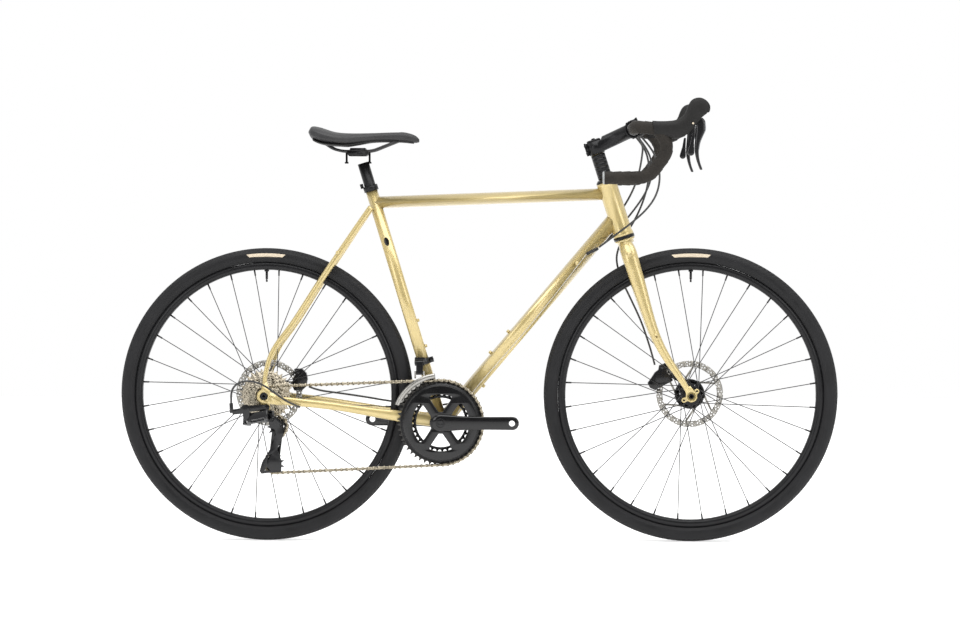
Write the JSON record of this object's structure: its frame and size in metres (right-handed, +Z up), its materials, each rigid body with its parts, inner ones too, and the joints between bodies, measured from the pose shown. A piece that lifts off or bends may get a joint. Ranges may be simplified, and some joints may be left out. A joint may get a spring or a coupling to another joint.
{
  "type": "road bicycle",
  "caption": "Drop-bar road bicycle with a steel diamond frame, disc brakes, wire-spoked wheels and derailleur gears; turns, steers, brakes and shifts.",
  "frame": {"origin": "on the ground plane, midway between the two axles, in the frame's middle plane", "axes": "+X forward, +Z up, -Y towards the chain side"},
  "size_m": [1.7168, 0.459, 1.0528],
  "materials": {
    "frame_paint": "champagne gold metallic paint, glossy",
    "black_alloy": "black anodised, satin",
    "ring_black": "black, glossy",
    "mech_black": "black painted, satin",
    "cage_steel": "plated steel",
    "tyre_rubber": "matt black rubber",
    "bar_tape": "matt cushioned tape",
    "hood_rubber": "matt rubber",
    "bar_plug": "grey plastic",
    "saddle_cover": "black synthetic cover",
    "moulded_plastic": "moulded black plastic",
    "black_steel": "black coated steel",
    "rotor_steel": "ground stainless steel",
    "cassette_steel": "plated steel",
    "chain_steel": "plated steel",
    "cable_housing": "black housing"
  },
  "bodies": {
    "frame": {"head_tube": "frame_paint", "top_tube": "frame_paint", "down_tube": "frame_paint", "seat_tube": "frame_paint", "bottom_bracket_shell": "frame_paint", "seatstays": "frame_paint", "chainstays": "frame_paint", "rear_dropouts": "frame_paint", "frame_fittings": "frame_paint", "seatpost_collar": "black_alloy", "bottom_bracket_cups": "black_alloy", "rear_thru_axle": "black_alloy", "rear_caliper": "black_alloy", "headset_cups": "black_alloy", "chain": "chain_steel", "front_mech_body": "mech_black", "frame_cables": "cable_housing", "rd_knuckle": "mech_black"},
    "seat": {"seatpost": "black_alloy", "saddle_clamp": "black_alloy", "saddle_rails": "black_steel", "saddle_base": "moulded_plastic", "saddle_cover": "saddle_cover"},
    "steering": {"fork": "frame_paint", "stem": "black_alloy", "headset_spacers": "black_alloy", "handlebar": "black_alloy", "bar_tape": "bar_tape", "bar_plugs": "bar_plug", "lever_hoods": "hood_rubber", "front_caliper": "black_alloy", "front_brake_hose": "cable_housing", "front_thru_axle": "black_alloy", "bar_cables": "cable_housing"},
    "right_lever": {"right_brake_lever": "mech_black"},
    "left_lever": {"left_brake_lever": "mech_black"},
    "right_paddle": {"right_shift_paddle": "mech_black"},
    "left_paddle": {"left_shift_paddle": "mech_black"},
    "front_wheel": {"front_tyre": "tyre_rubber", "front_rim": "black_alloy", "front_spokes": "black_steel", "front_hub": "black_alloy", "front_rotor": "rotor_steel"},
    "rear_wheel": {"rear_tyre": "tyre_rubber", "rear_rim": "black_alloy", "rear_spokes": "black_steel", "rear_hub": "black_alloy", "rear_rotor": "rotor_steel"},
    "cassette": {"cassette": "cassette_steel"},
    "crankset": {"crank_right": "black_alloy", "chainrings": "ring_black", "crank_left": "black_alloy"},
    "rd_outer_link": {"rd_outer_link": "mech_black"},
    "rd_inner_link": {"rd_inner_link": "mech_black"},
    "rd_lower_knuckle": {"rd_lower_knuckle": "mech_black"},
    "rd_cage": {"rd_cage": "mech_black"},
    "guide_pulley": {"guide_pulley": "moulded_plastic"},
    "tension_pulley": {"tension_pulley": "moulded_plastic"},
    "fd_link": {"fd_link": "mech_black"},
    "fd_cage": {"fd_cage": "cage_steel"}
  },
  "joints": [
    {"name": "steering", "type": "hinge", "parent": "frame", "child": "steering", "pos_m": [0.3471, 0, 0.7315], "axis": [-0.304, 0, 0.9527], "range_deg": [-65, 65], "deforming": ["bar_cables"]},
    {"name": "seatpost_slide", "type": "slide", "parent": "frame", "child": "seat", "axis": [-0.2899, 0, 0.9571], "range_m": [-0.03, 0.06]},
    {"name": "front_wheel_spin", "type": "hinge", "parent": "steering", "child": "front_wheel", "pos_m": [0.5075, 0, 0.351], "axis": [0, 1, 0], "continuous": true},
    {"name": "rear_wheel_spin", "type": "hinge", "parent": "frame", "child": "rear_wheel", "pos_m": [-0.5075, 0, 0.351], "axis": [0, 1, 0], "continuous": true},
    {"name": "crank_spin", "type": "hinge", "parent": "frame", "child": "crankset", "pos_m": [-0.0883, 0, 0.287], "axis": [0, 1, 0], "continuous": true, "deforming": ["chain"]},
    {"name": "cassette_spin", "type": "hinge", "parent": "frame", "child": "cassette", "pos_m": [-0.5075, 0, 0.351], "axis": [0, 1, 0], "continuous": true},
    {"name": "rd_shift", "type": "hinge", "parent": "frame", "child": "rd_outer_link", "pos_m": [-0.541, -0.08279, 0.3005], "axis": [0, 0.5, 0.866], "range_deg": [0, 50], "stiffness_Nm_per_rad": 1.2},
    {"name": "rd_inner_link_swing", "type": "hinge", "parent": "frame", "child": "rd_inner_link", "pos_m": [-0.543, -0.0698, 0.293], "axis": [0, 0.5, 0.866], "range_deg": [0, 50]},
    {"name": "rd_lower_knuckle_level", "type": "hinge", "parent": "rd_outer_link", "child": "rd_lower_knuckle", "pos_m": [-0.499, -0.09925, 0.31], "axis": [0, 0.5, 0.866], "range_deg": [-50, 0]},
    {"name": "rd_cage_swing", "type": "hinge", "parent": "rd_lower_knuckle", "child": "rd_cage", "pos_m": [-0.48, -0.0675, 0.288], "axis": [0, 1, 0], "range_deg": [-45, 12], "stiffness_Nm_per_rad": 1.5},
    {"name": "guide_pulley_spin", "type": "hinge", "parent": "rd_cage", "child": "guide_pulley", "pos_m": [-0.4755, -0.0637, 0.279], "axis": [0, 1, 0], "continuous": true},
    {"name": "tension_pulley_spin", "type": "hinge", "parent": "rd_cage", "child": "tension_pulley", "pos_m": [-0.4861, -0.0637, 0.19], "axis": [0, 1, 0], "continuous": true},
    {"name": "fd_shift", "type": "hinge", "parent": "frame", "child": "fd_link", "pos_m": [-0.139, -0.038, 0.43], "axis": [1, 0, 0], "range_deg": [0, 18]},
    {"name": "fd_cage_level", "type": "hinge", "parent": "fd_link", "child": "fd_cage", "pos_m": [-0.139, -0.042, 0.405], "axis": [1, 0, 0], "range_deg": [-18, 0]},
    {"name": "right_brake", "type": "hinge", "parent": "steering", "child": "right_lever", "pos_m": [0.515, -0.213, 1.001], "axis": [0, 1, 0], "range_deg": [0, 14], "stiffness_Nm_per_rad": 1.5},
    {"name": "right_shift", "type": "hinge", "parent": "right_lever", "child": "right_paddle", "pos_m": [0.502, -0.213, 0.968], "axis": [1, 0, 0], "range_deg": [0, 16], "stiffness_Nm_per_rad": 0.3},
    {"name": "left_brake", "type": "hinge", "parent": "steering", "child": "left_lever", "pos_m": [0.515, 0.213, 1.001], "axis": [0, 1, 0], "range_deg": [0, 14], "stiffness_Nm_per_rad": 1.5},
    {"name": "left_shift", "type": "hinge", "parent": "left_lever", "child": "left_paddle", "pos_m": [0.502, 0.213, 0.968], "axis": [-1, 0, 0], "range_deg": [0, 16], "stiffness_Nm_per_rad": 0.3}
  ],
  "couplings": [
    {"joint": "cassette_spin", "follows": "crank_spin", "ratio": 4.5455},
    {"joint": "guide_pulley_spin", "follows": "crank_spin", "ratio": -4.5455},
    {"joint": "tension_pulley_spin", "follows": "crank_spin", "ratio": 4.5455},
    {"joint": "rd_inner_link_swing", "follows": "rd_shift", "ratio": 1},
    {"joint": "rd_lower_knuckle_level", "follows": "rd_shift", "ratio": -1},
    {"joint": "fd_cage_level", "follows": "fd_shift", "ratio": -1}
  ]
}
